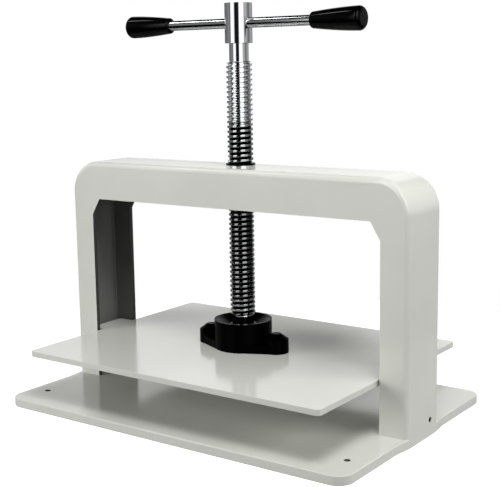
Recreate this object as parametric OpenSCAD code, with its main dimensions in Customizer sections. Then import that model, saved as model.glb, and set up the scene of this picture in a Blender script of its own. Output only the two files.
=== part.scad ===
// Hand screw press with a guided plate, in millimetres.
// The origin lies under the screw's axis, on the surface that the base stands on.
// X runs along the arch, Y from front to back, and Z up.

/* [Base] */
// Thickness of the base plate
base_t = 8; // [6:0.5:12]
// How far the base reaches past the press plate, at the front and at the back
base_margin = 6; // [3:0.5:20]
// Radius of the base plate's corners
base_corner_r = 14; // [6:1:24]
// Bevel round the base plate's edges
base_edge = 0.8; // [0.3:0.1:1.5]
// Diameter of the holes for bench screws
bench_hole_d = 5.5; // [4:0.1:8]
// Distance of a bench hole from the base's end
bench_inset_x = 17; // [14:0.5:20]
// Distance of a bench hole from the base's front edge
bench_inset_y = 33; // [20:1:60]

/* [Arch] */
// Width over both legs
arch_w = 360; // [330:1:400]
// Depth from the front cheek to the rear cheek
arch_d = 56; // [52:1:70]
// Height over the beam
arch_h = 217; // [200:1:260]
// Wall of the arch's channel section
arch_wall = 4; // [3:0.5:5]
// Width of a leg, seen from the front
leg_face = 25.5; // [24:0.5:34]
// Height of the beam, seen from the front
beam_face = 35; // [32:0.5:44]
// Radius of the arch's outer corners
arch_corner_r = 30; // [16:1:40]
// Radius along the arch's long outer edges
arch_edge_r = 5; // [2:0.5:8]
// Radius along the inside of the channel section
channel_r = 1.5; // [0.5:0.1:3]
// Width of the sloped corners of the window
window_chamfer_x = 9; // [4:0.5:16]
// Height of the sloped corners of the window
window_chamfer_z = 15; // [6:0.5:24]
// How far a leg stands out past the base's end
leg_proud = 2; // [1:0.5:3]

/* [Leg fixing] */
// Thickness of the lug inside each leg
lug_t = 5; // [4:0.5:5.5]
// Width of the lug
lug_w = 38; // [32:1:44]
// Height of the lug above the base
lug_h = 16; // [12:1:30]
// Diameter of the set screw through each leg
leg_screw_d = 5; // [4:0.5:6]
// Distance of the set screw behind the screw's axis
leg_screw_y = 12.5; // [0:0.5:13]
// Height of the set screw above the base
leg_screw_z = 6; // [5:0.5:8]
// Depth of the set screw under the leg's face
leg_screw_sink = 0.8; // [0.3:0.1:1.5]
// Width across the flats of the set screw's socket
leg_screw_socket = 2.5; // [2:0.5:3]

/* [Press plate] */
// Depth of the press plate from front to back
plate_d = 234; // [200:1:260]
// Thickness of the press plate
plate_t = 5; // [5:0.5:10]
// Gap between the press plate and each leg
plate_gap = 1.5; // [1:0.5:4]
// Radius of the press plate's corners
plate_corner_r = 4; // [2:0.5:10]
// Bevel round the press plate's edges
plate_edge = 0.6; // [0.3:0.1:1.2]
// Reach of the guide tongue into each leg
tongue_reach = 16; // [10:0.5:16.5]
// Gap between a guide tongue and each cheek
tongue_gap = 3; // [1:0.5:6]
// Opening between the base and the press plate, as the press stands
opening_h = 40.5; // [10:0.5:60]

/* [Screw] */
// Outer diameter of the thread
thread_d = 22.5; // [20:0.5:23]
// Length of the thread
thread_len = 224.5; // [200:0.5:260]
// Slope at each end of the thread
thread_chamfer = 1.2; // [0.5:0.1:2]
// Diameter of the neck above the thread
neck_d = 17; // [15.5:0.5:19]
// Length of the neck
neck_h = 15.5; // [8:0.5:30]
// Diameter of the tenon that holds the hub
tenon_d = 14; // [12:0.5:15]
// Length of the tenon
tenon_h = 9; // [8:0.5:11]
// Diameter of the plain shank under the thread
shank_d = 20; // [18:0.5:20]
// Length of the plain shank
shank_h = 8.5; // [6:0.5:14]
// Diameter of the journal that turns in the foot
journal_d = 14; // [12:0.5:16]

/* [Nut] */
// Diameter of the collar that shows above the beam
nut_collar_d = 26; // [25:0.5:29]
// Height of the collar above the beam
nut_collar_h = 3; // [1:0.5:6]
// Diameter of the flange under the beam
nut_flange_d = 46; // [44:0.5:47]
// Thickness of the flange
nut_flange_t = 7; // [5:0.5:10]
// Diameter of the barrel under the flange
nut_barrel_d = 30; // [28:0.5:30]
// How far the barrel ends above the beam's lower edge
nut_recess = 2; // [1:0.5:6]
// Diameter of the nut's screws
nut_screw_d = 4; // [3:0.5:4]
// Diameter of the screws' pitch circle
nut_screw_circle = 38; // [37.5:0.5:39]
// Number of screws
nut_screw_count = 4; // [3:1:6]
// Head diameter of the nut's screws
nut_screw_head_d = 7; // [5:0.5:7]
// Head height of the nut's screws
nut_screw_head_h = 4; // [3:0.5:5]
// Width across the flats of the socket in a nut screw
nut_screw_socket = 3; // [2:0.5:4]
// Metal left above the nut's screws
nut_screw_cover = 0.8; // [0.5:0.1:1.5]

/* [Foot] */
// Height of the foot over its boss
foot_h = 26; // [24:0.5:32]
// Diameter of the boss
boss_d = 52; // [48:0.5:56]
// Radius on the boss's upper edge
boss_edge_r = 1.5; // [0.5:0.1:2]
// Distance of each lug from the axis
ear_x = 36; // [34:0.5:44]
// Radius of the lugs
ear_r = 11; // [9:0.5:14]
// Height of the lugs
ear_h = 17; // [13:0.5:20]
// Width of the slope round a lug's top
ear_slope_w = 7; // [3:0.5:8]
// Height of the slope round a lug's top
ear_slope_h = 5; // [2:0.5:8]
// Height of the web between the boss and the lugs
web_h = 7; // [4:0.5:11]
// How far the web's sides lie inside the boss and the lugs
web_inset = 0.5; // [0.3:0.1:1]
// Diameter of the dish in the boss, at its rim
dish_d = 46; // [40:0.5:47]
// Diameter of the dish's floor
dish_floor_d = 27; // [25:0.5:30]
// Depth of the dish
dish_depth = 6; // [4:0.5:8]
// Diameter of the pocket under the foot
pocket_d = 27; // [25:0.5:32]
// Depth of the pocket under the foot
pocket_h = 8; // [7.5:0.5:10]
// Diameter of the foot's two screws
foot_screw_d = 6; // [5:0.5:6]
// Reach of the foot's screws above the press plate
foot_screw_reach = 9; // [6:0.5:10]
// Head diameter of the foot's screws
foot_screw_head_d = 11.5; // [10:0.5:12]
// Head height of the foot's screws
foot_screw_head_h = 3; // [2.5:0.1:3.3]
// Width across the flats of the socket in a foot screw
foot_screw_socket = 4; // [3:0.5:4.5]

/* [Thrust and retainer] */
// Diameter of the thrust washer
thrust_d = 24; // [22:0.5:24.5]
// Thickness of the thrust washer
thrust_t = 1.5; // [1:0.1:3]
// Diameter of the retaining washer
retainer_d = 24; // [20:0.5:24.5]
// Thickness of the retaining washer
retainer_t = 2.5; // [2:0.1:3]
// Diameter of the retaining screw
retainer_screw_d = 6; // [5:0.5:7]
// Reach of the retaining screw into the journal
retainer_screw_reach = 9; // [6:0.5:11]
// Head diameter of the retaining screw
retainer_head_d = 10.5; // [9:0.5:12]
// Head height of the retaining screw
retainer_head_h = 3.5; // [3:0.1:4]
// Width across the flats of the retaining screw's socket
retainer_socket = 4; // [3:0.5:5]

/* [Handle] */
// Diameter of the hub
hub_d = 24; // [20:0.5:30]
// Height of the hub
hub_h = 34; // [30:0.5:42]
// Bevel on the hub's edges
hub_edge = 0.8; // [0.3:0.1:1.5]
// Diameter of the pin that locks the hub to the screw
hub_pin_d = 4; // [3:0.5:5]
// Reach of the pin past the axis, from the back
hub_pin_reach = 4; // [2:0.5:6]
// Diameter of the handle bar
bar_d = 9; // [7:0.5:9.5]
// Length over both grips
handle_len = 247; // [200:1:300]
// Length of a grip
grip_len = 48.5; // [45:0.5:70]
// Diameter of a grip next to the bar
grip_inner_d = 14; // [13:0.1:15]
// Diameter of a grip near its end
grip_outer_d = 20; // [18:0.5:24]
// Radius round the grip's outer end
grip_end_r = 4; // [3:0.5:8]
// Radius round the grip's inner end
grip_inner_r = 1.8; // [1:0.1:2]
// Diameter of the threaded insert in a grip
insert_d = 11.2; // [10.6:0.1:11.4]
// Length of the threaded insert
insert_len = 22; // [15:0.5:30]
// Diameter of the set screw that holds the bar
bar_screw_d = 6; // [5:0.5:7]
// Length of the set screw that holds the bar
bar_screw_len = 8; // [6:0.5:12]
// Width across the flats of the bar's set screw's socket
bar_screw_socket = 3; // [2.5:0.5:4]

/* [Fits] */
// Running clearance round a turning shaft
run_gap = 0.05; // [0.02:0.01:0.08]
// Clearance round a fixed pin, screw or tenon
fit_gap = 0.05; // [0.02:0.01:0.08]
// Free gap between pieces that turn past each other
turn_gap = 0.3; // [0.2:0.05:0.4]

/* [Hidden] */
$fn = 96;
// Extra length that takes a cut clear of a face
over = 1;
// Depth of a socket, as a share of the length that it is cut into
socket_share = 0.5;

leg_gap = arch_w - 2 * leg_face;
channel_x = arch_w / 2 - arch_wall;
channel_y = arch_d / 2 - arch_wall;
window_z = arch_h - beam_face;
beam_under_z = arch_h - arch_wall;

plate_w = leg_gap - 2 * plate_gap;
plate_z = base_t + opening_h;
tongue_w = 2 * (channel_y - tongue_gap);
base_w = arch_w - 2 * leg_proud;
base_d = plate_d + 2 * base_margin;

foot_z = plate_z + plate_t;
pocket_z = foot_z + pocket_h;
dish_z = foot_z + foot_h - dish_depth;
shoulder_z = dish_z + thrust_t + run_gap;
thread_z = shoulder_z + shank_h;
neck_z = thread_z + thread_len;
hub_z = neck_z + neck_h;
bar_z = hub_z + hub_h / 2;
hub_pin_z = hub_z + tenon_h / 2;
journal_z = pocket_z - turn_gap;

grip_x = handle_len / 2 - grip_len;
insert_x = grip_x + grip_inner_r;
bar_len = 2 * (insert_x + insert_len);
bar_screw_z = bar_z + bar_d / 2 + fit_gap;
lug_x = channel_x - lug_t;
leg_screw_len = lug_t + arch_wall - leg_screw_sink;

// Section across a slab that stands on the origin, with bevelled edges
module slab_section(half, t, edge) {
    polygon([
        [edge - half, 0], [half - edge, 0], [half, edge], [half, t - edge],
        [half - edge, t], [edge - half, t], [-half, t - edge], [-half, edge]
    ]);
}

// A slab standing on the origin, with round corners and bevelled edges
module bevelled_slab(w, d, t, r, edge) {
    rotate([90, 0, 90])
        linear_extrude(w - 2 * r, center = true)
            slab_section(d / 2, t, edge);
    rotate([90, 0, 0])
        linear_extrude(d - 2 * r, center = true)
            slab_section(w / 2, t, edge);
    for (x = [-1, 1], y = [-1, 1])
        translate([x * (w / 2 - r), y * (d / 2 - r), 0])
            rotate_extrude()
                intersection() {
                    slab_section(r, t, edge);
                    square([r, t]);
                }
}

// A hexagon socket, cut downwards from the origin
module socket(flats, depth) {
    translate([0, 0, -depth])
        cylinder(h = depth + over, d = flats / cos(30), $fn = 6);
}

// Section of the arch's rim: a slab whose outer edges are round
module rim_section(reach, depth, edge_r) {
    translate([0, -depth / 2])
        square([reach - edge_r, depth]);
    translate([0, edge_r - depth / 2])
        square([reach, depth - 2 * edge_r]);
    for (y = [-1, 1])
        translate([reach - edge_r, y * (depth / 2 - edge_r)])
            circle(edge_r);
}

// A block in the arch's outline: the rim runs up a leg, round the corners and along the beam
module arch_block(w, h, depth, corner_r, edge_r) {
    turn_x = w / 2 - corner_r;
    turn_z = h - corner_r;
    for (side = [0, 1])
        mirror([side, 0, 0])
            translate([turn_x, 0, 0]) {
                linear_extrude(turn_z)
                    rim_section(corner_r, depth, edge_r);
                translate([0, 0, turn_z])
                    rotate([90, 0, 0])
                        rotate_extrude(angle = 90)
                            rim_section(corner_r, depth, edge_r);
            }
    translate([turn_x, 0, turn_z])
        rotate([0, -90, 0])
            linear_extrude(2 * turn_x)
                rim_section(corner_r, depth, edge_r);
    translate([-turn_x, -depth / 2, 0])
        cube([2 * turn_x, depth, turn_z]);
}

// Base: a thick plate, cut back at both ends where the legs' outer walls pass it, with two holes near its
// front edge for bench screws
module base_plate() {
    color("gainsboro")
        difference() {
            bevelled_slab(base_w, base_d, base_t, base_corner_r, base_edge);
            for (side = [-1, 1])
                translate([side * (channel_x + base_w / 2), 0, base_t / 2])
                    cube([base_w, arch_d, base_t + 2 * over], center = true);
            for (side = [-1, 1])
                translate([side * (base_w / 2 - bench_inset_x), bench_inset_y - base_d / 2, -over])
                    cylinder(h = base_t + 2 * over, d = bench_hole_d);
        }
}

// The arch's window, from below the base up to the beam, with sloped upper corners
module window_outline() {
    half = leg_gap / 2;
    polygon([
        [-half, -over], [half, -over],
        [half, window_z - window_chamfer_z], [half - window_chamfer_x, window_z],
        [window_chamfer_x - half, window_z], [-half, window_z - window_chamfer_z]
    ]);
}

// Arch: a channel section, open inwards, with its cheeks standing on the base
module arch_frame() {
    color("gainsboro")
        difference() {
            arch_block(arch_w, arch_h, arch_d, arch_corner_r, arch_edge_r);
            translate([0, 0, -over])
                arch_block(2 * channel_x, beam_under_z + over, 2 * channel_y,
                    arch_corner_r - arch_wall, channel_r);
            rotate([90, 0, 0])
                linear_extrude(arch_d + 2 * over, center = true)
                    window_outline();
            translate([-channel_x, -arch_d / 2 - over, -over])
                cube([2 * channel_x, arch_d + 2 * over, base_t + over]);
            translate([0, 0, beam_under_z - over])
                cylinder(h = arch_wall + 2 * over, d = nut_collar_d + 2 * fit_gap);
            nut_screw_places()
                translate([0, 0, beam_under_z - over])
                    cylinder(h = arch_wall - nut_screw_cover + over, d = nut_screw_d + 2 * fit_gap);
            leg_screw_places()
                cylinder(h = arch_wall + 2 * over, d = leg_screw_d + 2 * fit_gap);
        }
}

// Places of the legs' set screws: Z points out of the leg, from inside its outer wall
module leg_screw_places() {
    for (side = [0, 1])
        mirror([side, 0, 0])
            translate([channel_x - over, leg_screw_y, base_t + leg_screw_z])
                rotate([0, 90, 0])
                    children();
}

// Lugs: upright flats on the base, inside the legs, which the set screws pull on
module leg_lugs() {
    color("gainsboro")
        for (side = [0, 1])
            mirror([side, 0, 0])
                difference() {
                    translate([lug_x, -lug_w / 2, base_t])
                        cube([lug_t, lug_w, lug_h]);
                    translate([lug_x - over, leg_screw_y, base_t + leg_screw_z])
                        rotate([0, 90, 0])
                            cylinder(h = lug_t + 2 * over, d = leg_screw_d + 2 * fit_gap);
                }
}

// Set screws: one through each leg into its lug
module leg_set_screws() {
    color("dimgray")
        for (side = [0, 1])
            mirror([side, 0, 0])
                translate([lug_x, leg_screw_y, base_t + leg_screw_z])
                    rotate([0, 90, 0])
                        difference() {
                            cylinder(h = leg_screw_len, d = leg_screw_d);
                            translate([0, 0, leg_screw_len])
                                socket(leg_screw_socket, leg_screw_len * socket_share);
                        }
}

// Places of the nut's screws, round the axis
module nut_screw_places() {
    for (i = [0 : nut_screw_count - 1])
        rotate(180 / nut_screw_count + i * 360 / nut_screw_count)
            translate([nut_screw_circle / 2, 0, 0])
                children();
}

// Nut: a collar through the beam, with a flange that bears up against the beam's wall
module screw_nut() {
    flange_z = beam_under_z - nut_flange_t;
    barrel_z = window_z + nut_recess;
    color("silver")
        difference() {
            union() {
                translate([0, 0, barrel_z])
                    cylinder(h = flange_z - barrel_z, d = nut_barrel_d);
                translate([0, 0, flange_z])
                    cylinder(h = nut_flange_t, d = nut_flange_d);
                translate([0, 0, beam_under_z])
                    cylinder(h = arch_wall + nut_collar_h, d = nut_collar_d);
            }
            translate([0, 0, barrel_z - over])
                cylinder(h = arch_h + nut_collar_h - barrel_z + 2 * over, d = thread_d + 2 * run_gap);
            nut_screw_places()
                translate([0, 0, flange_z - over])
                    cylinder(h = nut_flange_t + 2 * over, d = nut_screw_d + 2 * fit_gap);
        }
}

// Screws that hold the nut, put in from below
module nut_screws() {
    flange_z = beam_under_z - nut_flange_t;
    shank = nut_flange_t + arch_wall - nut_screw_cover;
    color("dimgray")
        nut_screw_places()
            translate([0, 0, flange_z]) {
                cylinder(h = shank, d = nut_screw_d);
                difference() {
                    translate([0, 0, -nut_screw_head_h])
                        cylinder(h = nut_screw_head_h, d = nut_screw_head_d);
                    translate([0, 0, -nut_screw_head_h])
                        mirror([0, 0, 1])
                            socket(nut_screw_socket, nut_screw_head_h * socket_share);
                }
            }
}

// Press plate: a flat plate with a guide tongue into the channel of each leg
module press_plate() {
    tongue_len = plate_w + 2 * tongue_reach;
    color("gainsboro")
        translate([0, 0, plate_z])
            difference() {
                union() {
                    bevelled_slab(plate_w, plate_d, plate_t, plate_corner_r, plate_edge);
                    bevelled_slab(tongue_len, tongue_w, plate_t, plate_corner_r, plate_edge);
                }
                foot_screw_places()
                    foot_screw_shape(fit_gap);
            }
}

// Places of the foot's screws, on the press plate's underside
module foot_screw_places() {
    for (x = [-ear_x, ear_x])
        translate([x, 0, 0])
            children();
}

// A countersunk screw that points up from the press plate's underside, grown by a gap
module foot_screw_shape(gap) {
    cylinder(h = plate_t + foot_screw_reach + gap, d = foot_screw_d + 2 * gap);
    cylinder(h = foot_screw_head_h, d1 = foot_screw_head_d + 2 * gap, d2 = foot_screw_d + 2 * gap);
}

// Screws that hold the foot, put in from under the press plate
module foot_screws() {
    color("dimgray")
        translate([0, 0, plate_z])
            foot_screw_places()
                difference() {
                    foot_screw_shape(0);
                    mirror([0, 0, 1])
                        socket(foot_screw_socket, foot_screw_head_h);
                }
}

// Outline of the foot's web: straight sides from the boss to the lugs
module web_outline() {
    mid = boss_d / 2 - web_inset;
    ear = ear_r - web_inset;
    lean = acos((mid - ear) / ear_x);
    for (side = [0, 1])
        mirror([side, 0])
            polygon([
                [0, 0], mid * [cos(lean), -sin(lean)], [ear_x, 0] + ear * [cos(lean), -sin(lean)],
                [ear_x, 0] + ear * [cos(lean), sin(lean)], mid * [cos(lean), sin(lean)]
            ]);
}

// A lug of the foot: round, with a sloped top
module foot_lug() {
    rotate_extrude()
        polygon([
            [0, 0], [ear_r, 0], [ear_r, ear_h - ear_slope_h], [ear_r - ear_slope_w, ear_h], [0, ear_h]
        ]);
}

// Section of the boss, right of the axis, with a round upper edge
module boss_section() {
    square([boss_d / 2, foot_h - boss_edge_r]);
    square([boss_d / 2 - boss_edge_r, foot_h]);
    translate([boss_d / 2 - boss_edge_r, foot_h - boss_edge_r])
        circle(boss_edge_r);
}

// Section of the dish in the boss, right of the axis: a cone that opens upwards
module dish_section() {
    polygon([
        [0, 0], [dish_floor_d / 2, 0], [dish_d / 2, dish_depth], [dish_d / 2, dish_depth + over],
        [0, dish_depth + over]
    ]);
}

// Foot: a dished boss with two lugs on a low web, bored for the screw's journal
module press_foot() {
    color("#181818")
        translate([0, 0, foot_z])
            difference() {
                union() {
                    linear_extrude(web_h)
                        web_outline();
                    foot_screw_places()
                        foot_lug();
                    rotate_extrude()
                        boss_section();
                }
                translate([0, 0, foot_h - dish_depth])
                    rotate_extrude()
                        dish_section();
                cylinder(h = foot_h, d = journal_d + 2 * run_gap);
                translate([0, 0, -over])
                    cylinder(h = pocket_h + over, d = pocket_d);
                foot_screw_places()
                    translate([0, 0, -plate_t])
                        foot_screw_shape(fit_gap);
            }
}

// Thrust washer: lies on the dish's floor, under the screw's shoulder
module thrust_washer() {
    color("dimgray")
        translate([0, 0, dish_z])
            difference() {
                cylinder(h = thrust_t, d = thrust_d);
                translate([0, 0, -over])
                    cylinder(h = thrust_t + 2 * over, d = journal_d + 2 * turn_gap);
            }
}

// Screw: journal, shank, thread, neck and tenon in one piece, up the axis
module lead_screw() {
    color("silver")
        difference() {
            union() {
                translate([0, 0, journal_z])
                    cylinder(h = shoulder_z - journal_z, d = journal_d);
                translate([0, 0, shoulder_z])
                    cylinder(h = shank_h, d = shank_d);
                translate([0, 0, thread_z])
                    thread_body();
                translate([0, 0, neck_z])
                    cylinder(h = neck_h, d = neck_d);
                translate([0, 0, hub_z])
                    cylinder(h = tenon_h, d = tenon_d);
            }
            translate([0, 0, journal_z - over])
                cylinder(h = retainer_screw_reach + over + fit_gap, d = retainer_screw_d + 2 * fit_gap);
            translate([0, -hub_pin_reach - fit_gap, hub_pin_z])
                rotate([-90, 0, 0])
                    cylinder(h = neck_d + hub_pin_reach, d = hub_pin_d + 2 * fit_gap);
        }
}

// The thread's envelope, sloped at both ends
module thread_body() {
    low_d = thread_d - 2 * thread_chamfer;
    cylinder(h = thread_chamfer, d1 = low_d, d2 = thread_d);
    translate([0, 0, thread_chamfer])
        cylinder(h = thread_len - 2 * thread_chamfer, d = thread_d);
    translate([0, 0, thread_len - thread_chamfer])
        cylinder(h = thread_chamfer, d1 = thread_d, d2 = low_d);
}

// Retaining washer: lifts the foot with the screw, from inside the foot's pocket
module retaining_washer() {
    color("silver")
        translate([0, 0, journal_z - retainer_t])
            difference() {
                cylinder(h = retainer_t, d = retainer_d);
                translate([0, 0, -over])
                    cylinder(h = retainer_t + 2 * over, d = retainer_screw_d + 2 * fit_gap);
            }
}

// Retaining screw: up through the retaining washer into the journal's end
module retaining_screw() {
    color("dimgray")
        translate([0, 0, journal_z - retainer_t])
            difference() {
                union() {
                    cylinder(h = retainer_t + retainer_screw_reach, d = retainer_screw_d);
                    translate([0, 0, -retainer_head_h])
                        cylinder(h = retainer_head_h, d = retainer_head_d);
                }
                translate([0, 0, -retainer_head_h])
                    mirror([0, 0, 1])
                        socket(retainer_socket, retainer_head_h * socket_share);
            }
}

// Hub: a turned cylinder on the screw's tenon, cross-drilled for the bar
module handle_hub() {
    color("silver")
        difference() {
            translate([0, 0, hub_z])
                rotate_extrude()
                    polygon([
                        [0, 0], [hub_d / 2 - hub_edge, 0], [hub_d / 2, hub_edge],
                        [hub_d / 2, hub_h - hub_edge], [hub_d / 2 - hub_edge, hub_h], [0, hub_h]
                    ]);
            translate([0, 0, hub_z - over])
                cylinder(h = tenon_h + over + fit_gap, d = tenon_d + 2 * fit_gap);
            translate([0, 0, bar_z])
                rotate([0, 90, 0])
                    cylinder(h = hub_d + 2 * over, d = bar_d + 2 * fit_gap, center = true);
            translate([0, 0, bar_z])
                cylinder(h = hub_h, d = bar_screw_d + 2 * fit_gap);
            translate([0, 0, hub_pin_z])
                rotate([-90, 0, 0])
                    cylinder(h = hub_d, d = hub_pin_d + 2 * fit_gap);
        }
}

// Hub pin: driven in from the back through the hub and the tenon, flush with the hub
module hub_pin() {
    pin_end = sqrt(pow(hub_d / 2, 2) - pow(hub_pin_d / 2, 2));
    color("dimgray")
        translate([0, -hub_pin_reach, hub_pin_z])
            rotate([-90, 0, 0])
                cylinder(h = hub_pin_reach + pin_end, d = hub_pin_d);
}

// Handle bar: a round bar through the hub
module handle_bar() {
    color("silver")
        translate([0, 0, bar_z])
            rotate([0, 90, 0])
                cylinder(h = bar_len, d = bar_d, center = true);
}

// Set screw down the hub's middle, onto the bar
module bar_set_screw() {
    color("dimgray")
        translate([0, 0, bar_screw_z])
            difference() {
                cylinder(h = bar_screw_len, d = bar_screw_d);
                translate([0, 0, bar_screw_len])
                    socket(bar_screw_socket, bar_screw_len * socket_share);
            }
}

// Section of a grip along its length: a taper with both ends rounded
module grip_section() {
    inner = grip_inner_d / 2;
    outer = grip_outer_d / 2;
    polygon([
        [0, 0], [inner - grip_inner_r, 0], [inner, grip_inner_r],
        [outer, grip_len - grip_end_r], [outer - grip_end_r, grip_len - grip_end_r], [0, grip_len - grip_end_r]
    ]);
    translate([inner - grip_inner_r, grip_inner_r])
        circle(grip_inner_r);
    square([outer - grip_end_r, grip_len]);
    translate([outer - grip_end_r, grip_len - grip_end_r])
        circle(grip_end_r);
}

// A grip, turned outwards along X, bored for its insert
module grip() {
    translate([grip_x, 0, bar_z])
        rotate([0, 90, 0])
            difference() {
                rotate_extrude()
                    intersection() {
                        grip_section();
                        square([grip_outer_d, grip_len]);
                    }
                translate([0, 0, -over])
                    cylinder(h = insert_x - grip_x + over, d = bar_d + 2 * fit_gap);
                translate([0, 0, insert_x - grip_x])
                    cylinder(h = insert_len + fit_gap, d = insert_d + 2 * fit_gap);
            }
}

// A grip's threaded insert, on the end of the bar
module grip_insert() {
    translate([insert_x, 0, bar_z])
        rotate([0, 90, 0])
            difference() {
                cylinder(h = insert_len, d = insert_d);
                translate([0, 0, -over])
                    cylinder(h = insert_len + 2 * over, d = bar_d + 2 * fit_gap);
            }
}

module left_grip() {
    color("#141414")
        mirror([1, 0, 0])
            grip();
}

module right_grip() {
    color("#141414")
        grip();
}

module left_grip_insert() {
    color("goldenrod")
        mirror([1, 0, 0])
            grip_insert();
}

module right_grip_insert() {
    color("goldenrod")
        grip_insert();
}

base_plate();
arch_frame();
leg_lugs();
leg_set_screws();
screw_nut();
nut_screws();
press_plate();
press_foot();
foot_screws();
thrust_washer();
lead_screw();
retaining_washer();
retaining_screw();
handle_hub();
hub_pin();
handle_bar();
bar_set_screw();
left_grip();
right_grip();
left_grip_insert();
right_grip_insert();
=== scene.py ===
import math

import bmesh
import bpy
from mathutils import Matrix, Vector


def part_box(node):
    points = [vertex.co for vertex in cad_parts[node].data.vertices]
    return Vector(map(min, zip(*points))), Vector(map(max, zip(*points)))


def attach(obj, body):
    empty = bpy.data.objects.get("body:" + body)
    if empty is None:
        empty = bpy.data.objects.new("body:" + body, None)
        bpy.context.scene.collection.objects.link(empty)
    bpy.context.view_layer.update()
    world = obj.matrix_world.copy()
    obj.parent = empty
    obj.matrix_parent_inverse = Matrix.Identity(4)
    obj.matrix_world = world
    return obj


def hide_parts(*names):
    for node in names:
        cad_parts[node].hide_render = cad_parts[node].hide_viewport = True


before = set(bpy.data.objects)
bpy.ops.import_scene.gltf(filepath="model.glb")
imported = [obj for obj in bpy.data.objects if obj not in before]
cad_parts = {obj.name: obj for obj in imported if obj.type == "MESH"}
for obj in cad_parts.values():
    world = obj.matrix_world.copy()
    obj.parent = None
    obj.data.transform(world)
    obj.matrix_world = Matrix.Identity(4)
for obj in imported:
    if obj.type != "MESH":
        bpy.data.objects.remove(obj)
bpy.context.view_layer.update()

# Base plate
# A thick flat of mild steel with rounded corners, cut back at both ends where the legs pass it and drilled
# near its front corners for bench screws. It is sprayed and stoved in the press's grey enamel, and the
# walls of the holes are dark grey: painted shade.
mm = 0.001


def linear(code):
    """The linear RGBA of an sRGB hex colour."""
    shares = [int(code[i:i + 2], 16) / 255 for i in (1, 3, 5)]
    return [s / 12.92 if s <= 0.04045 else ((s + 0.055) / 1.055) ** 2.4 for s in shares] + [1.0]


def add_node(tree, kind, inputs, **settings):
    """Adds a shader node with its settings. An input is a value, or a socket to link from."""
    node = tree.nodes.new("ShaderNode" + kind)
    for name, value in settings.items():
        setattr(node, name, value)
    for name, value in inputs.items():
        if isinstance(value, bpy.types.NodeSocket):
            tree.links.new(value, node.inputs[name])
        else:
            node.inputs[name].default_value = value
    return node


def new_finish(name, **sockets):
    """A material with its constant shader sockets set. Gives the material, its tree and its shader."""
    material = bpy.data.materials.new(name)
    material.use_nodes = True
    shader = material.node_tree.nodes["Principled BSDF"]
    for socket, value in sockets.items():
        shader.inputs[socket.replace("_", " ")].default_value = value
    return material, material.node_tree, shader


def stoved_enamel(name, pale, deep, roughness, peel_size, peel_height, ior=1.5):
    """Sprayed and stoved paint: even, with a faint orange peel and slow drifts in tone and gloss."""
    drift_size = 70 * mm
    gloss_spread = 0.15
    material, tree, shader = new_finish(name, IOR=ior)
    place = add_node(tree, "TexCoord", {}).outputs["Object"]
    drift = add_node(tree, "TexNoise", {"Vector": place, "Scale": 1 / drift_size, "Detail": 3.0})
    tone = add_node(tree, "ValToRGB", {"Fac": drift.outputs["Fac"]})
    for element, position, colour in zip(tone.color_ramp.elements, (0.3, 0.7), (deep, pale)):
        element.position = position
        element.color = linear(colour)
    gloss = add_node(tree, "MapRange", {
        "Value": drift.outputs["Fac"],
        "To Min": roughness * (1 - gloss_spread), "To Max": roughness * (1 + gloss_spread)})
    peel = add_node(tree, "TexNoise", {"Vector": place, "Scale": 1 / peel_size, "Detail": 2.0})
    relief = add_node(tree, "Bump", {"Height": peel.outputs["Fac"], "Distance": peel_height})
    tree.links.new(tone.outputs["Color"], shader.inputs["Base Color"])
    tree.links.new(gloss.outputs["Result"], shader.inputs["Roughness"])
    tree.links.new(relief.outputs["Normal"], shader.inputs["Normal"])
    return material


def edges_along(bm, axis):
    """The edges of a bmesh that run along X, Y or Z."""
    index = "XYZ".index(axis)
    return [e for e in bm.edges if abs((e.verts[0].co - e.verts[1].co).normalized()[index]) > 0.999]


def round_off(bm, edges, radius, segments):
    """Rounds edges of a bmesh."""
    bmesh.ops.bevel(bm, geom=edges, offset=radius, offset_type="OFFSET", segments=segments,
                    profile=0.5, affect="EDGES", material=-1)


def block(bm, low, high):
    """Adds a block between two corners to a bmesh."""
    low, high = Vector(low), Vector(high)
    bmesh.ops.create_cube(bm, size=1, matrix=Matrix.LocRotScale((low + high) / 2, None, high - low))


def rod(bm, start, end, radius, end_radius=None, segments=48):
    """Adds a round rod, or a cone, between two points to a bmesh."""
    start, end = Vector(start), Vector(end)
    direction = (end - start).to_track_quat("Z", "Y")
    bmesh.ops.create_cone(
        bm, cap_ends=True, segments=segments, radius1=radius,
        radius2=radius if end_radius is None else end_radius, depth=(end - start).length,
        matrix=Matrix.LocRotScale((start + end) / 2, direction, None))


def make_piece(name, bm, *finishes):
    """Makes an object of a bmesh, smoothly shaded, in its finishes."""
    mesh = bpy.data.meshes.new(name)
    bm.to_mesh(mesh)
    bm.free()
    mesh.shade_smooth()
    for finish in finishes:
        mesh.materials.append(finish)
    piece = bpy.data.objects.new(name, mesh)
    bpy.context.scene.collection.objects.link(piece)
    return piece


def carve(piece, bm, operation="DIFFERENCE", finish=None):
    """Cuts a bmesh's shape out of a piece, or joins it on. The cut's faces can have their own finish."""
    tool = make_piece("tool", bm, finish or piece.data.materials[0])
    cut = piece.modifiers.new("cut", "BOOLEAN")
    cut.operation = operation
    cut.solver = "EXACT"
    cut.material_mode = "TRANSFER"
    cut.object = tool
    evaluated = piece.evaluated_get(bpy.context.evaluated_depsgraph_get())
    mesh = bpy.data.meshes.new_from_object(evaluated)
    piece.modifiers.clear()
    mesh.name = piece.name
    piece.data = mesh
    bpy.data.objects.remove(tool)


def soften(piece, radius, segments=3):
    """Rounds a piece's sharp edges, and keeps its flat faces flat under smooth shading."""
    sharp = math.radians(35)
    rounding = piece.modifiers.new("rounded edges", "BEVEL")
    rounding.width = radius
    rounding.segments = segments
    rounding.limit_method = "ANGLE"
    rounding.angle_limit = sharp
    shading = piece.modifiers.new("flat faces", "WEIGHTED_NORMAL")
    shading.keep_sharp = True


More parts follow.
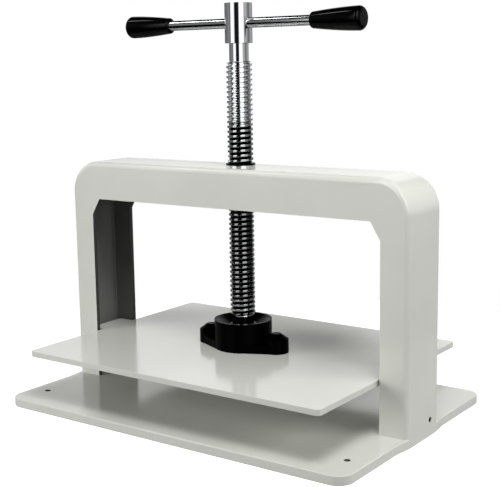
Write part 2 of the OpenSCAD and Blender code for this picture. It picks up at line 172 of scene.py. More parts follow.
# Stoved enamel: an even, pale and slightly warm grey with a satin shine.
grey_enamel = stoved_enamel(
    "stoved_grey_enamel", "#CDCEC7", "#C9CAC3", roughness=0.14, peel_size=2.2 * mm, peel_height=0.005 * mm)
# Dark grey and dull: painted shade inside the channel and in the bench holes.
painted_recess_shade = stoved_enamel(
    "dark_grey_painted_shade", "#6C6D69", "#5C5D5A", roughness=0.6, peel_size=1.5 * mm, peel_height=0.02 * mm)

base_low, base_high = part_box("base_plate")
arch_low, arch_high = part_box("arch_frame")
base_corner = 14 * mm
base_edge = 0.9 * mm
drilled_edge = 0.2 * mm
bench_hole_r = 2.75 * mm
bench_inset_x = 17 * mm
bench_inset_y = 33 * mm
arch_wall = 4 * mm
# A cutter reaches this far past the faces that it cuts.
clear = 2 * mm

base = bmesh.new()
block(base, base_low, base_high)
round_off(base, edges_along(base, "Z"), base_corner, segments=14)
bmesh.ops.recalc_face_normals(base, faces=base.faces)
rims = [e for e in base.edges if any(abs(f.normal.z) > 0.9 for f in e.link_faces)]
round_off(base, rims, base_edge, segments=3)
base_plate = make_piece("steel_base", base, grey_enamel)
leg_cuts = bmesh.new()
holes = bmesh.new()
for side in (-1, 1):
    near, far = sorted((side * (arch_high.x - arch_wall), side * (arch_high.x + clear)))
    block(leg_cuts, (near, arch_low.y, -clear), (far, arch_high.y, base_high.z + clear))
    x = side * (base_high.x - bench_inset_x)
    y = base_low.y + bench_inset_y
    rod(holes, (x, y, -clear), (x, y, base_high.z + clear), bench_hole_r, segments=32)
carve(base_plate, leg_cuts)
# The holes' walls are dark grey: painted shade.
carve(base_plate, holes, finish=painted_recess_shade)
soften(base_plate, drilled_edge)
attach(base_plate, "frame")
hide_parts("base_plate")

# Arch frame
# Pressed and welded from sheet steel into a channel that opens inwards: two legs and a beam with rounded
# outer edges and sloped window corners. It is enamelled outside. The channel's inside is dark grey and the
# sheet's edges round the window are near black: both are painted shade.
leg_face = 25.5 * mm
beam_face = 35 * mm
arch_corner = 30 * mm
arch_edge = 5 * mm
channel_edge = 1.5 * mm
window_slope = Vector((9 * mm, 0, 15 * mm))
sheet_edge = 0.7 * mm
nut_hole_r = 13.05 * mm
set_screw_hole_r = 2.55 * mm
# Points closer than this are at the same place.
hair = 0.001 * mm

leg_in = arch_high.x - leg_face
window_top = arch_high.z - beam_face
channel_x = arch_high.x - arch_wall
channel_y = arch_high.y - arch_wall
channel_top = arch_high.z - arch_wall


def prism(bm, outline, reach):
    """Adds a prism to a bmesh: a flat outline, drawn out along a vector."""
    face = bm.faces.new([bm.verts.new(point) for point in outline])
    grown = bmesh.ops.extrude_face_region(bm, geom=[face])["geom"]
    bmesh.ops.translate(bm, vec=reach, verts=[g for g in grown if isinstance(g, bmesh.types.BMVert)])
    bmesh.ops.recalc_face_normals(bm, faces=bm.faces)


def arched(outline, depth, corner, edge):
    """A bmesh of half an outline in XZ, drawn out along Y, rounded outside and mirrored over X = 0."""
    bm = bmesh.new()
    prism(bm, [(x, -depth / 2, z) for x, z in outline], (0, depth, 0))
    middle = [f for f in bm.faces if all(abs(v.co.x) < hair for v in f.verts)]
    bmesh.ops.delete(bm, geom=middle, context="FACES")
    outer = [f for f in bm.faces if f.normal.x + f.normal.z > 0.5]
    corners = [e for e in edges_along(bm, "Y") if all(f in outer for f in e.link_faces)]
    round_off(bm, corners, corner, segments=20)
    bmesh.ops.recalc_face_normals(bm, faces=bm.faces)
    rim = [e for e in bm.edges if len(e.link_faces) == 2
           and any(abs(f.normal.y) > 0.9 for f in e.link_faces)
           and any(f.normal.x + f.normal.z > 0.5 for f in e.link_faces)]
    round_off(bm, rim, edge, segments=8)
    bmesh.ops.mirror(bm, geom=bm.verts[:] + bm.edges[:] + bm.faces[:], axis="X", merge_dist=hair)
    bmesh.ops.recalc_face_normals(bm, faces=bm.faces)
    return bm


arch = arched([
    (0, arch_high.z), (arch_high.x, arch_high.z), (arch_high.x, 0), (leg_in, 0),
    (leg_in, window_top - window_slope.z), (leg_in - window_slope.x, window_top), (0, window_top)],
    2 * arch_high.y, arch_corner, arch_edge)
arch_frame = make_piece("channel_arch", arch, grey_enamel)
channel = arched([
    (0, channel_top), (channel_x, channel_top), (channel_x, -clear), (0, -clear)],
    2 * channel_y, arch_corner - arch_wall, channel_edge)
# The channel's inside is dark grey: painted shade.
carve(arch_frame, channel, finish=painted_recess_shade)
base_cut = bmesh.new()
block(base_cut, (-channel_x, arch_low.y - clear, -clear), (channel_x, arch_high.y + clear, base_high.z))
carve(arch_frame, base_cut)
set_screw_low, set_screw_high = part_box("leg_set_screws")
set_screw_y = (set_screw_low.y + set_screw_high.y) / 2
set_screw_z = (set_screw_low.z + set_screw_high.z) / 2
holes = bmesh.new()
rod(holes, (0, 0, channel_top - clear), (0, 0, arch_high.z + clear), nut_hole_r, segments=64)
for side in (-1, 1):
    rod(holes, (side * (channel_x - clear), set_screw_y, set_screw_z),
        (side * (arch_high.x + clear), set_screw_y, set_screw_z), set_screw_hole_r)
carve(arch_frame, holes)
# Near black and dull: painted shade on the sheet's cut edges round the window.
painted_edge_shade = stoved_enamel(
    "near_black_painted_edge_shade", "#30312F", "#292A28", roughness=0.6, peel_size=1.5 * mm, peel_height=0.02 * mm)
arch_frame.data.materials.append(painted_edge_shade)
# The sheet's cut edges round the window take the near black painted shade.
for face in arch_frame.data.polygons:
    in_window = abs(face.center.x) < leg_in + sheet_edge and face.center.z < window_top + sheet_edge
    if abs(face.normal.y) < 0.5 and in_window:
        face.material_index = len(arch_frame.data.materials) - 1
soften(arch_frame, sheet_edge)
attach(arch_frame, "frame")
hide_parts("arch_frame")

# Leg welds
# Where a leg's outer wall passes the base's end, the corner between the two is filled with weld, ground to
# a soft S and painted over with the rest.
weld_reach = 16 * mm
weld_steps = 10
weld_root = base_high.x - clear
weld_start = arch_high.y - arch_edge
weld_end = arch_high.y + weld_reach

outline = [(weld_root, weld_end), (weld_root, weld_start)]
for i in range(weld_steps + 1):
    share = i / weld_steps
    out = (arch_high.x - base_high.x) * (1 + math.cos(math.pi * share)) / 2
    outline.append((base_high.x + out, weld_start + (weld_end - weld_start) * share))
welds = bmesh.new()
for x_side in (-1, 1):
    for y_side in (-1, 1):
        prism(welds, [(x_side * x, y_side * y, 0) for x, y in outline], (0, 0, base_high.z))
leg_welds = make_piece("leg_welds", welds, grey_enamel)
soften(leg_welds, base_edge)
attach(leg_welds, "frame")

# Screw nut
# A turned steel nut, chromed, with a collar that shows above the beam, a flange that is screwed up against
# the beam from below and a barrel under it. The collar's rim above its bright band is black.
nut_low, nut_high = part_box("screw_nut")
nut_bore_r = 11.3 * mm
nut_collar_r = 13 * mm
nut_barrel_r = 15 * mm
nut_flange_r = nut_high.x
nut_flange_h = 7 * mm
nut_bright_h = 1.3 * mm
nut_edge = 0.5 * mm
nut_flange_z = channel_top - nut_flange_h
nut_black_rim_z = arch_high.z + nut_bright_h


def turned(profile, closed=False, steps=96):
    """A bmesh turned about Z from (radius, height) points."""
    bm = bmesh.new()
    points = [bm.verts.new((r, 0, z)) for r, z in profile]
    ends = points[1:] + points[:1] if closed else points[1:]
    lines = [bm.edges.new(pair) for pair in zip(points, ends)]
    bmesh.ops.spin(bm, geom=points + lines, axis=(0, 0, 1), angle=math.tau, steps=steps, use_merge=True)
    bmesh.ops.remove_doubles(bm, verts=bm.verts, dist=0.0001 * mm)
    bmesh.ops.recalc_face_normals(bm, faces=bm.faces)
    return bm


def turned_metal(name, colour, roughness):
    """Metal from the lathe: faint rings about Z, which are drawn coarser than real ones so that they show,
    under a slow haze in its gloss."""
    ring_size = 2.5 * mm
    ring_height = 0.001 * mm
    across = 0.02
    haze_size = 12 * mm
    smoothest = 0.7 * roughness
    roughest = 1.5 * roughness
    material, tree, shader = new_finish(name, Metallic=1.0, Base_Color=linear(colour))
    place = add_node(tree, "TexCoord", {}).outputs["Object"]
    flat = add_node(tree, "Mapping", {"Vector": place, "Scale": (across, across, 1.0)})
    rings = add_node(tree, "TexNoise", {
        "Vector": flat.outputs["Vector"], "Scale": 1 / ring_size, "Detail": 1.0})
    haze = add_node(tree, "TexNoise", {"Vector": place, "Scale": 1 / haze_size, "Detail": 3.0})
    gloss = add_node(tree, "MapRange", {
        "Value": haze.outputs["Fac"], "To Min": smoothest, "To Max": roughest})
    relief = add_node(tree, "Bump", {"Height": rings.outputs["Fac"], "Distance": ring_height})
    tree.links.new(gloss.outputs["Result"], shader.inputs["Roughness"])
    tree.links.new(relief.outputs["Normal"], shader.inputs["Normal"])
    return material


# Chrome plate on turned steel: a bright, cool mirror.
chrome_colour = "#DFE1E2"
chrome_roughness = 0.06
chrome = turned_metal("chrome_plate", chrome_colour, chrome_roughness)
# Black metal with a dim shine, for the rim at the top of the nut's collar.
black_rim_metal = turned_metal("black_rim_metal", "#060606", 0.3)

nut = turned([
    (nut_bore_r, nut_low.z), (nut_barrel_r, nut_low.z), (nut_barrel_r, nut_flange_z),
    (nut_flange_r, nut_flange_z), (nut_flange_r, channel_top), (nut_collar_r, channel_top),
    (nut_collar_r, nut_black_rim_z), (nut_collar_r, nut_high.z), (nut_bore_r, nut_high.z)], closed=True)
screw_nut = make_piece("turned_nut", nut, chrome, black_rim_metal)
# The faces above the collar's bright band are black.
for face in screw_nut.data.polygons:
    if face.center.z > nut_black_rim_z:
        face.material_index = 1
soften(screw_nut, nut_edge)
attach(screw_nut, "frame")
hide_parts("screw_nut")

# Press plate
# A flat steel plate in the same enamel, with a tongue at each end that runs in the leg's channel, and two
# countersunk holes under it for the foot's screws.
plate_low, plate_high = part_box("press_plate")
plate_gap = 1.5 * mm
tongue_gap = 3 * mm
plate_corner = 4 * mm
plate_edge = 0.7 * mm
foot_screw_x = 36 * mm
foot_screw_r = 3.05 * mm
foot_screw_head_r = 5.8 * mm
foot_screw_head_h = 3 * mm
plate_end = leg_in - plate_gap
tongue_half = channel_y - tongue_gap

plate = bmesh.new()
block(plate, (-plate_end, plate_low.y, plate_low.z), (plate_end, plate_high.y, plate_high.z))
round_off(plate, edges_along(plate, "Z"), plate_corner, segments=6)
for y in (-tongue_half, tongue_half):
    bmesh.ops.bisect_plane(plate, geom=plate.verts[:] + plate.edges[:] + plate.faces[:],
                           plane_co=(0, y, 0), plane_no=(0, 1, 0))
for side in (-1, 1):
    ends = [f for f in plate.faces
            if abs(f.calc_center_median().x - side * plate_end) < hair
            and abs(f.calc_center_median().y) < tongue_half]
    grown = bmesh.ops.extrude_face_region(plate, geom=ends)["geom"]
    bmesh.ops.delete(plate, geom=ends, context="FACES")
    bmesh.ops.translate(plate, vec=(side * (plate_high.x - plate_end), 0, 0),
                        verts=[g for g in grown if isinstance(g, bmesh.types.BMVert)])
tongue_corners = [e for e in edges_along(plate, "Z") if abs(abs(e.verts[0].co.x) - plate_high.x) < hair]
round_off(plate, tongue_corners, plate_corner, segments=6)
bmesh.ops.recalc_face_normals(plate, faces=plate.faces)
press_plate = make_piece("pressing_plate", plate, grey_enamel)
screw_holes = bmesh.new()
countersinks = bmesh.new()
for x in (-foot_screw_x, foot_screw_x):
    rod(screw_holes, (x, 0, plate_low.z - clear), (x, 0, plate_high.z + clear), foot_screw_r, segments=32)
    rod(countersinks, (x, 0, plate_low.z), (x, 0, plate_low.z + foot_screw_head_h),
        foot_screw_head_r, foot_screw_r, segments=32)
carve(press_plate, screw_holes)
carve(press_plate, countersinks)
soften(press_plate, plate_edge)
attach(press_plate, "platen")
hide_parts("press_plate")

# Press foot
# An iron casting in black enamel: a round dished boss that holds the screw's end, and two round lugs with
# sloped tops on a low web, screwed down through the plate.
foot_low, foot_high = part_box("press_foot")
boss_r = 26 * mm
dish_r = 23 * mm
dish_floor_r = 13.5 * mm
dish_depth = 6 * mm
journal_bore_r = 7.05 * mm
pocket_r = 13.5 * mm
pocket_h = 8 * mm
lug_r = 11 * mm
lug_h = 17 * mm
lug_slope = Vector((7 * mm, 0, 5 * mm))
web_h = 7 * mm
web_inset = 0.5 * mm
foot_screw_reach = 9 * mm
cast_edge = 0.8 * mm
dish_slope = (dish_r - dish_floor_r) / dish_depth

# Gloss enamel over a rough casting: deep black and wavy, with few and dim highlights.
black_enamel = stoved_enamel(
    "gloss_black_enamel", "#020202", "#010101", roughness=0.25, peel_size=5 * mm, peel_height=0.03 * mm,
    ior=1.07)

boss = turned([(0, foot_low.z), (boss_r, foot_low.z), (boss_r, foot_high.z), (0, foot_high.z)])
press_foot = make_piece("cast_foot", boss, black_enamel)
web = bmesh.new()
for z in (foot_low.z, foot_low.z + web_h):
    for x, r in ((0, boss_r), (-foot_screw_x, lug_r), (foot_screw_x, lug_r)):
        bmesh.ops.create_circle(web, segments=96, radius=r - web_inset, matrix=Matrix.Translation((x, 0, z)))
hull = bmesh.ops.convex_hull(web, input=web.verts)
inside = [g for g in hull["geom_interior"] if isinstance(g, bmesh.types.BMVert)]
bmesh.ops.delete(web, geom=inside, context="VERTS")
bmesh.ops.dissolve_limit(web, angle_limit=0.01, verts=web.verts, edges=web.edges)
carve(press_foot, web, "UNION")
for x in (-foot_screw_x, foot_screw_x):
    lug = turned([
        (0, foot_low.z), (lug_r, foot_low.z), (lug_r, foot_low.z + lug_h - lug_slope.z),
        (lug_r - lug_slope.x, foot_low.z + lug_h), (0, foot_low.z + lug_h)])
    bmesh.ops.translate(lug, vec=(x, 0, 0), verts=lug.verts)
    carve(press_foot, lug, "UNION")
hollow = turned([
    (0, foot_low.z - clear), (pocket_r, foot_low.z - clear), (pocket_r, foot_low.z + pocket_h),
    (journal_bore_r, foot_low.z + pocket_h), (journal_bore_r, foot_high.z - dish_depth),
    (dish_floor_r, foot_high.z - dish_depth), (dish_r + clear * dish_slope, foot_high.z + clear),
    (0, foot_high.z + clear)])
carve(press_foot, hollow)
screw_holes = bmesh.new()
for x in (-foot_screw_x, foot_screw_x):
    rod(screw_holes, (x, 0, foot_low.z - clear), (x, 0, foot_low.z + foot_screw_reach), foot_screw_r,
        segments=32)
carve(press_foot, screw_holes)
soften(press_foot, cast_edge, segments=4)
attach(press_foot, "platen")
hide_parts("press_foot")

# Lead screw
# A chromed steel screw with a right-hand trapezoid thread, a plain neck under the handle and a plain shank
# that ends in the foot. The stretch that runs through the nut is dark in its grooves with grease and painted
# shade, and below the beam painted shade dims its crests too.
screw_low, screw_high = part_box("lead_screw")
thread_r = screw_high.x
thread_pitch = 4.3 * mm
thread_depth = 1.4 * mm
thread_low = 83.55 * mm
thread_high = 308.05 * mm
thread_steps = 48
neck_r = 8.5 * mm
tenon_r = 7 * mm
tenon_h = 9 * mm
shank_r = 10 * mm
shank_h = 8.5 * mm
journal_r = 7 * mm
plain_edge = 0.4 * mm
# The plain parts reach this far into the thread.
sunk = 0.5 * mm
# The grease reaches this far above the nut.
nut_run = 37 * mm


def greased_shaded_chrome(name):
    """Chrome plate that works in grease: black in the thread's grooves, from grease and painted shade, and
    bright on its crests. The grease ends above the nut in ragged patches, and below the beam painted shade
    dims the crests too."""
    grease_top = nut_high.z + nut_run
    crest_bare = thread_r - 0.02 * mm
    groove_full = thread_r - 0.12 * mm
    crest_shade_strength = 0.4
    patch_size = 4 * mm
    patch_reach = 12 * mm
    fade = 8 * mm
    material = turned_metal(name, chrome_colour, chrome_roughness)
    tree = material.node_tree
    place = add_node(tree, "TexCoord", {}).outputs["Object"]
    height = add_node(tree, "SeparateXYZ", {"Vector": place}).outputs["Z"]
    flat = add_node(tree, "VectorMath", {0: place, 1: (1, 1, 0)}, operation="MULTIPLY").outputs["Vector"]
    radius = add_node(tree, "VectorMath", {0: flat}, operation="LENGTH").outputs["Value"]
    # Black in the grooves: grease and painted shade.
    groove = add_node(tree, "MapRange", {
        "Value": radius, "From Min": groove_full, "From Max": crest_bare, "To Min": 1, "To Max": 0})
    # Below the beam the crests are dimmed: painted shade.
    crest_shade = add_node(tree, "MapRange", {
        "Value": height, "From Min": window_top, "From Max": arch_high.z,
        "To Min": crest_shade_strength, "To Max": 0})
    patches = add_node(tree, "TexNoise", {"Vector": place, "Scale": 1 / patch_size, "Detail": 3.0})
    ragged = add_node(tree, "Math", {
        0: patches.outputs["Fac"], 1: patch_reach, 2: height}, operation="MULTIPLY_ADD")
    reach = add_node(tree, "MapRange", {
        "Value": ragged.outputs["Value"], "From Min": grease_top, "From Max": grease_top + fade,
        "To Min": 1, "To Max": 0})
    cover = add_node(tree, "Math", {
        0: groove.outputs["Result"], 1: crest_shade.outputs["Result"]}, operation="MAXIMUM")
    grease_and_shade = add_node(tree, "Math", {
        0: reach.outputs["Result"], 1: cover.outputs["Value"]}, operation="MULTIPLY")
    tint = add_node(tree, "ValToRGB", {"Fac": grease_and_shade.outputs["Value"]})
    for element, colour in zip(tint.color_ramp.elements, (chrome_colour, "#020202")):
        element.color = linear(colour)
    tree.links.new(tint.outputs["Color"], tree.nodes["Principled BSDF"].inputs["Base Color"])
    return material


# Half the thread's ridge: shares of the pitch from the crest's middle, and shares of the depth below it.
half_ridge = (
    (0.145, 0), (0.165, 0), (0.185, 0.02), (0.205, 0.08), (0.32, 0.92), (0.34, 0.98), (0.36, 1), (0.5, 1))
first_turn = bmesh.new()
ridge = []
for along, below in [(-a, b) for a, b in reversed(half_ridge)] + list(half_ridge):
    z = thread_low + thread_pitch * (along - 0.5)
    ridge.append(first_turn.verts.new((thread_r - thread_depth * below, 0, z)))
ridge_lines = [first_turn.edges.new(pair) for pair in zip(ridge, ridge[1:])]
bmesh.ops.spin(first_turn, geom=ridge + ridge_lines, axis=(0, 0, 1), angle=math.tau,
               dvec=(0, 0, thread_pitch / thread_steps), steps=thread_steps)
one_turn = make_piece("one_turn", first_turn)
repeat = one_turn.modifiers.new("turns", "ARRAY")
repeat.count = math.ceil((thread_high - thread_low) / thread_pitch) + 2
repeat.use_relative_offset = False
repeat.use_constant_offset = True
repeat.constant_offset_displace = (0, 0, thread_pitch)
thread = bmesh.new()
thread.from_object(one_turn, bpy.context.evaluated_depsgraph_get())
bpy.data.objects.remove(one_turn)
bmesh.ops.remove_doubles(thread, verts=thread.verts, dist=0.002 * mm)
for height, side in ((thread_low, -1), (thread_high, 1)):
    bmesh.ops.bisect_plane(thread, geom=thread.verts[:] + thread.edges[:] + thread.faces[:],
                           plane_co=(0, 0, height), plane_no=(0, 0, side), clear_outer=True)
# Both ends are turned down to the thread's root in a 45-degree slope.
for v in thread.verts:
    from_end = min(v.co.z - thread_low, thread_high - v.co.z)
    radius = math.hypot(v.co.x, v.co.y)
    limit = thread_r - thread_depth + from_end
    if radius > limit:
        v.co.x *= limit / radius
        v.co.y *= limit / radius
bmesh.ops.holes_fill(thread, edges=[e for e in thread.edges if e.is_boundary], sides=0)
bmesh.ops.recalc_face_normals(thread, faces=thread.faces)
lead_screw = make_piece("chromed_screw", thread, greased_shaded_chrome("greased_shaded_chrome_thread"))
shank = turned([
    (0, screw_low.z), (journal_r, screw_low.z), (journal_r, thread_low - shank_h),
    (shank_r, thread_low - shank_h), (shank_r, thread_low + sunk), (0, thread_low + sunk)])
neck = turned([
    (0, thread_high - sunk), (neck_r, thread_high - sunk), (neck_r, screw_high.z - tenon_h),
    (tenon_r, screw_high.z - tenon_h), (tenon_r, screw_high.z), (0, screw_high.z)])
for name, bm in (("screw_shank", shank), ("screw_neck", neck)):
    part = make_piece(name, bm, chrome)
    soften(part, plain_edge)
    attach(part, "screw")
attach(lead_screw, "screw")
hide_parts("lead_screw")

# Handle hub
# A steel cylinder, turned and chromed, that sits on the screw's tenon and is held by a pin from the back.
# It is cross-drilled for the bar and drilled from above for the set screw that locks it.
hub_low, hub_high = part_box("handle_hub")
bar_low, bar_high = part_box("handle_bar")
bar_z = (bar_low.z + bar_high.z) / 2
bar_r = bar_high.y
bar_gap = 0.05 * mm
hub_edge = 0.8 * mm
hub_pin_r = 2 * mm
hub_pin_z = hub_low.z + tenon_h / 2
bar_screw_r = 3 * mm

hub = turned([(0, hub_low.z), (hub_high.x, hub_low.z), (hub_high.x, hub_high.z), (0, hub_high.z)])
handle_hub = make_piece("chromed_hub", hub, chrome)
bores = bmesh.new()
rod(bores, (hub_low.x - clear, 0, bar_z), (hub_high.x + clear, 0, bar_z), bar_r + bar_gap)
rod(bores, (0, 0, hub_low.z - clear), (0, 0, screw_high.z + bar_gap), tenon_r + bar_gap, segments=64)
rod(bores, (0, 0, bar_z + bar_r), (0, 0, hub_high.z + clear), bar_screw_r + bar_gap)
rod(bores, (0, tenon_r - clear, hub_pin_z), (0, hub_high.y + clear, hub_pin_z), hub_pin_r + bar_gap)
carve(handle_hub, bores)
soften(handle_hub, hub_edge)
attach(handle_hub, "screw")
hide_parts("handle_hub")

# Handle bar
# A drawn round bar of steel, chromed. It passes through the hub, where the set screw locks it, and has a
# grip screwed on each end.
bar_edge = 0.5 * mm

bar = bmesh.new()
rod(bar, (bar_low.x, 0, bar_z), (bar_high.x, 0, bar_z), bar_r, segments=64)
handle_bar = make_piece("chromed_bar", bar, chrome)
soften(handle_bar, bar_edge)
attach(handle_bar, "screw")
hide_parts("handle_bar")

# Grips
# Moulded in black thermoset plastic round brass inserts, then polished. They taper towards the bar and are
# screwed on its ends.
grip_low, grip_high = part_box("right_grip")
insert_low, insert_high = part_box("right_grip_insert")
grip_len = grip_high.x - grip_low.x
grip_inner_r = 7 * mm
grip_outer_r = grip_high.y
grip_inner_edge = 1.8 * mm
grip_outer_edge = 4 * mm
grip_swell = 1.6
grip_rings = 12
bore_edge = 0.15 * mm
bar_bore_r = bar_r + bar_gap
insert_bore_r = insert_high.y + bar_gap
insert_start = insert_low.x - grip_low.x
insert_end = insert_high.x - grip_low.x + bar_gap
taper_len = grip_len - grip_inner_edge - grip_outer_edge


def moulded_black(name):
    """Polished thermoset plastic: near black, with a clear shine and a faint waviness from the mould."""
    wave_size = 9 * mm
    wave_height = 0.02 * mm
    smoothest = 0.05
    roughest = 0.09
    material, tree, shader = new_finish(name, IOR=1.2, Base_Color=linear("#020202"))
    place = add_node(tree, "TexCoord", {}).outputs["Object"]
    waves = add_node(tree, "TexNoise", {"Vector": place, "Scale": 1 / wave_size, "Detail": 4.0})
    gloss = add_node(tree, "MapRange", {
        "Value": waves.outputs["Fac"], "To Min": smoothest, "To Max": roughest})
    relief = add_node(tree, "Bump", {"Height": waves.outputs["Fac"], "Distance": wave_height})
    tree.links.new(gloss.outputs["Result"], shader.inputs["Roughness"])
    tree.links.new(relief.outputs["Normal"], shader.inputs["Normal"])
    return material


def arc(r, z, radius, start, end, steps):
    """Points of an arc in a profile, from its centre, its radius and its angles in degrees."""
    angles = [math.radians(start + (end - start) * i / steps) for i in range(steps + 1)]
    return [(r + radius * math.cos(a), z + radius * math.sin(a)) for a in angles]


grip_plastic = moulded_black("moulded_black_thermoset")
bore = [(0, insert_end), (insert_bore_r, insert_end), (insert_bore_r, insert_start),
        (bar_bore_r, insert_start), (bar_bore_r, 0)]
inner_end = arc(grip_inner_r - grip_inner_edge, grip_inner_edge, grip_inner_edge, -90, 0, steps=8)
outer_end = arc(grip_outer_r - grip_outer_edge, grip_len - grip_outer_edge, grip_outer_edge, 0, 90, steps=14)
taper = []
for i in range(1, grip_rings):
    share = i / grip_rings
    swell = 1 - (1 - share) ** grip_swell
    taper.append((grip_inner_r + (grip_outer_r - grip_inner_r) * swell, grip_inner_edge + share * taper_len))
grip_profile = bore + inner_end + taper + outer_end + [(0, grip_len)]
for name, side in (("left_grip", -1), ("right_grip", 1)):
    grip = turned(grip_profile)
    outwards = Matrix.Rotation(side * math.pi / 2, 3, "Y")
    bmesh.ops.rotate(grip, cent=(0, 0, 0), matrix=outwards, verts=grip.verts)
    bmesh.ops.translate(grip, vec=(side * grip_low.x, 0, bar_z), verts=grip.verts)
    piece = make_piece("moulded_" + name, grip, grip_plastic)
    soften(piece, bore_edge)
    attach(piece, "screw")
    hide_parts(name)

# Screws, washers, pin and inserts
# Bought or turned small parts, mostly out of sight: blackened socket screws, a hardened black thrust washer,
# a turned steel washer and pin, and brass inserts. They keep the solids' own shapes, as do the painted lugs
# on the base, inside the legs.

# Blackened steel: dark, with a dull shine.
black_steel = turned_metal("blackened_steel", "#1C1C1D", 0.4)
# Turned steel: pale grey, with a soft shine.
bright_steel = turned_metal("turned_steel", "#B9B9B6", 0.25)
# Turned brass: yellow, with a soft shine.
brass = turned_metal("turned_brass", "#B79552", 0.25)
for finish, names in (
        (grey_enamel, ("leg_lugs",)),
        (black_steel, ("leg_set_screws", "nut_screws", "foot_screws", "retaining_screw", "bar_set_screw",
                       "thrust_washer")),
        (bright_steel, ("retaining_washer", "hub_pin")),
        (brass, ("left_grip_insert", "right_grip_insert"))):
    for name in names:
        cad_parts[name].material_slots[0].material = finish

# Floor, light and camera
# A white table in a white studio, seen from the photograph's place. Soft lamps light the press from above,
# from the front left, from the right and from behind. Gloss and bright metal mirror a room with walls,
# softboxes and a lit backdrop.
table_r = 0.45
table_glow = 0.88
soft_room = 0.04

# Matt white paint: plain, and as white as the studio behind it where the press casts no shadow.
floor_paint, floor_tree, floor_shader = new_finish(
    "white_table", Base_Color=linear("#A0A0A0"), Roughness=0.9, Emission_Color=linear("#FFFFFF"))
floor_rays = add_node(floor_tree, "LightPath", {}).outputs
glow = add_node(floor_tree, "Math", {0: floor_rays["Is Camera Ray"], 1: table_glow}, operation="MULTIPLY")
floor_tree.links.new(glow.outputs["Value"], floor_shader.inputs["Emission Strength"])
floor_mesh = bmesh.new()
bmesh.ops.create_circle(floor_mesh, cap_ends=True, segments=128, radius=table_r)
floor = make_piece("table", floor_mesh, floor_paint)

world = bpy.data.worlds.new("studio")
world.use_nodes = True
bpy.context.scene.world = world
sky = world.node_tree
toward = add_node(sky, "TexCoord", {}).outputs["Generated"]
compass = add_node(sky, "TexGradient", {"Vector": toward}, gradient_type="RADIAL")
azimuth = add_node(sky, "MapRange", {"Value": compass.outputs["Fac"], "To Min": -180, "To Max": 180})
height = add_node(sky, "SeparateXYZ", {"Vector": toward})
rise = add_node(sky, "Math", {0: height.outputs["Z"]}, operation="ARCSINE")
elevation = add_node(sky, "Math", {0: rise.outputs["Value"]}, operation="DEGREES")


def levels(tree, degrees, stops):
    """A curve of brightness over an angle, through stops of an angle and a level."""
    first, last = stops[0][0], stops[-1][0]
    share = add_node(tree, "MapRange", {"Value": degrees, "From Min": first, "From Max": last})
    ramp = add_node(tree, "ValToRGB", {"Fac": share.outputs["Result"]})
    elements = ramp.color_ramp.elements
    elements.remove(elements[1])
    for i, (angle, level) in enumerate(stops):
        position = (angle - first) / (last - first)
        element = elements[0] if i == 0 else elements.new(position)
        element.position = position
        element.color = (level, level, level, 1)
    return ramp.outputs["Color"]


# Each light or wall has its levels round the compass, from +X towards +Y, and over the height above the
# horizon, as stops of an angle in degrees and a level. The two are multiplied.
mirrored = (
    # The walls round the table.
    (((-180, 0.15), (-140, 0.28), (-128, 0.18), (-86, 0.01), (-55, 0.01), (-40, 0.35), (-7, 0.35), (3, 0.6),
      (35, 0.15), (62, 0.45), (90, 0.35), (180, 0.15)),
     ((-90, 0), (-6, 0), (-1, 1), (25, 1), (40, 0.05), (90, 0.05))),
    # The room's floor behind the table and on its left, pale and dark in turn.
    (((-180, 0.5), (-165, 0.5), (-155, 0), (50, 0), (60, 0.15), (70, 0.15), (85, 0.7), (120, 0.7),
      (135, 0.3), (160, 0.5), (180, 0.5)),
     ((-90, 0), (-34, 0), (-28, 1), (-8, 1), (-6, 0), (90, 0))),
    # Two tall softboxes, left and right of the camera.
    (((-180, 0), (-124, 0), (-120, 1), (-95, 1), (-86, 0), (-55, 0), (-46, 1), (-16, 1), (-7, 0), (180, 0)),
     ((-90, 0), (-15, 0), (-12, 0.7), (-5, 0.7), (-1, 1.3), (5, 1.3), (20, 4), (45, 4), (52, 0), (90, 0))),
    # The main light's bright face.
    (((-180, 0), (-43, 0), (-41, 1), (-29, 1), (-27, 0), (180, 0)),
     ((-90, 0), (44, 0), (46, 4.5), (58, 4.5), (60, 0), (90, 0))),
    # A narrow light under the ceiling, on the left.
    (((-180, 0), (-159, 0), (-157, 1), (-153, 1), (-151, 0), (180, 0)),
     ((-90, 0), (42, 0), (44, 11), (52, 11), (54, 0), (90, 0))),
    # The lit backdrop: its foot, its left and right ends with a darker middle between them, and its top.
    (((-180, 1), (-165, 1), (-145, 0), (95, 0), (105, 1), (180, 1)),
     ((-90, 0), (3.8, 0), (4.6, 0.95), (9, 0.95), (11, 0), (90, 0))),
    (((-180, 1), (-165, 1), (-145, 0), (123, 0), (128, 1), (180, 1)),
     ((-90, 0), (9, 0), (11, 0.95), (16, 0.95), (18, 0), (90, 0))),
    (((-180, 0), (100, 0), (106, 1), (115, 1), (118.9, 0.7), (120, 0), (180, 0)),
     ((-90, 0), (9, 0), (12, 1.05), (16, 1.05), (18, 0), (90, 0))),
    (((-180, 1), (-165, 1), (-145, 0), (95, 0), (105, 1), (180, 1)),
     ((-90, 0), (16, 0), (18.5, 0.9), (30, 0.9), (34, 0), (90, 0))))
mirrored_room = 0
for around, upward in mirrored:
    across = levels(sky, azimuth.outputs["Result"], around)
    above = levels(sky, elevation.outputs["Value"], upward)
    total = add_node(sky, "Math", {0: across, 1: above, 2: mirrored_room}, operation="MULTIPLY_ADD")
    mirrored_room = total.outputs["Value"]
sky_rays = add_node(sky, "LightPath", {}).outputs
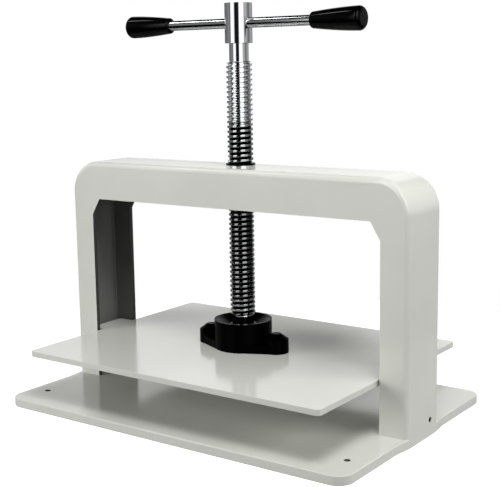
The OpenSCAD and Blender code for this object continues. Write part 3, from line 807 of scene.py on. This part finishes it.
lit = add_node(sky, "Mix", {0: sky_rays["Is Glossy Ray"], 2: soft_room, 3: mirrored_room})
shown = add_node(sky, "Mix", {0: sky_rays["Is Camera Ray"], 2: lit.outputs[0], 3: 1.0})
sky.links.new(shown.outputs[0], sky.nodes["Background"].inputs["Strength"])
sky.nodes["Background"].inputs["Color"].default_value = linear("#FFFFFF")

for name, place, aim, size, power in (
        ("main", (0.33, -0.30, 0.95), (0, 0, 0.1), (0.4, 0.4), 7.2),
        ("front_left", (-0.9, -1.2, 0.4), (0, 0, 0.12), (0.6, 0.8), 16),
        ("right", (1.0, 0.1, 0.43), (0, 0, 0.12), (0.5, 0.5), 5.7),
        ("rear_left", (-0.9, 0.9, 0.12), (0, 0, 0.12), (0.8, 0.4), 3),
        ("rear_right", (0.4, 1.3, 0.2), (0, 0, 0.12), (0.8, 0.4), 5)):
    lamp = bpy.data.lights.new(name, "AREA")
    lamp.shape = "RECTANGLE"
    lamp.size, lamp.size_y = size
    lamp.energy = power
    light = bpy.data.objects.new(name, lamp)
    light.location = place
    light.visible_glossy = False
    light.rotation_mode = "QUATERNION"
    light.rotation_quaternion = (Vector(aim) - Vector(place)).to_track_quat("-Z", "Y")
    bpy.context.scene.collection.objects.link(light)

view_place = (0.54893, -0.75440, 0.30501)
view_azimuth = math.radians(35.60)
view_elevation = math.radians(9.57)
view_roll = math.radians(-0.84)
photo_view = bpy.data.cameras.new("photo_view")
photo_view.sensor_width = 36
photo_view.lens = 76.34
camera = bpy.data.objects.new("photo_view", photo_view)
camera.location = view_place
back = Vector((math.sin(view_azimuth) * math.cos(view_elevation),
               -math.cos(view_azimuth) * math.cos(view_elevation), math.sin(view_elevation)))
roll = Matrix.Rotation(view_roll, 3, "Z").to_quaternion()
camera.rotation_mode = "QUATERNION"
camera.rotation_quaternion = (-back).to_track_quat("-Z", "Y") @ roll
bpy.context.scene.collection.objects.link(camera)
bpy.context.scene.camera = camera
bpy.context.scene.view_settings.view_transform = "Standard"
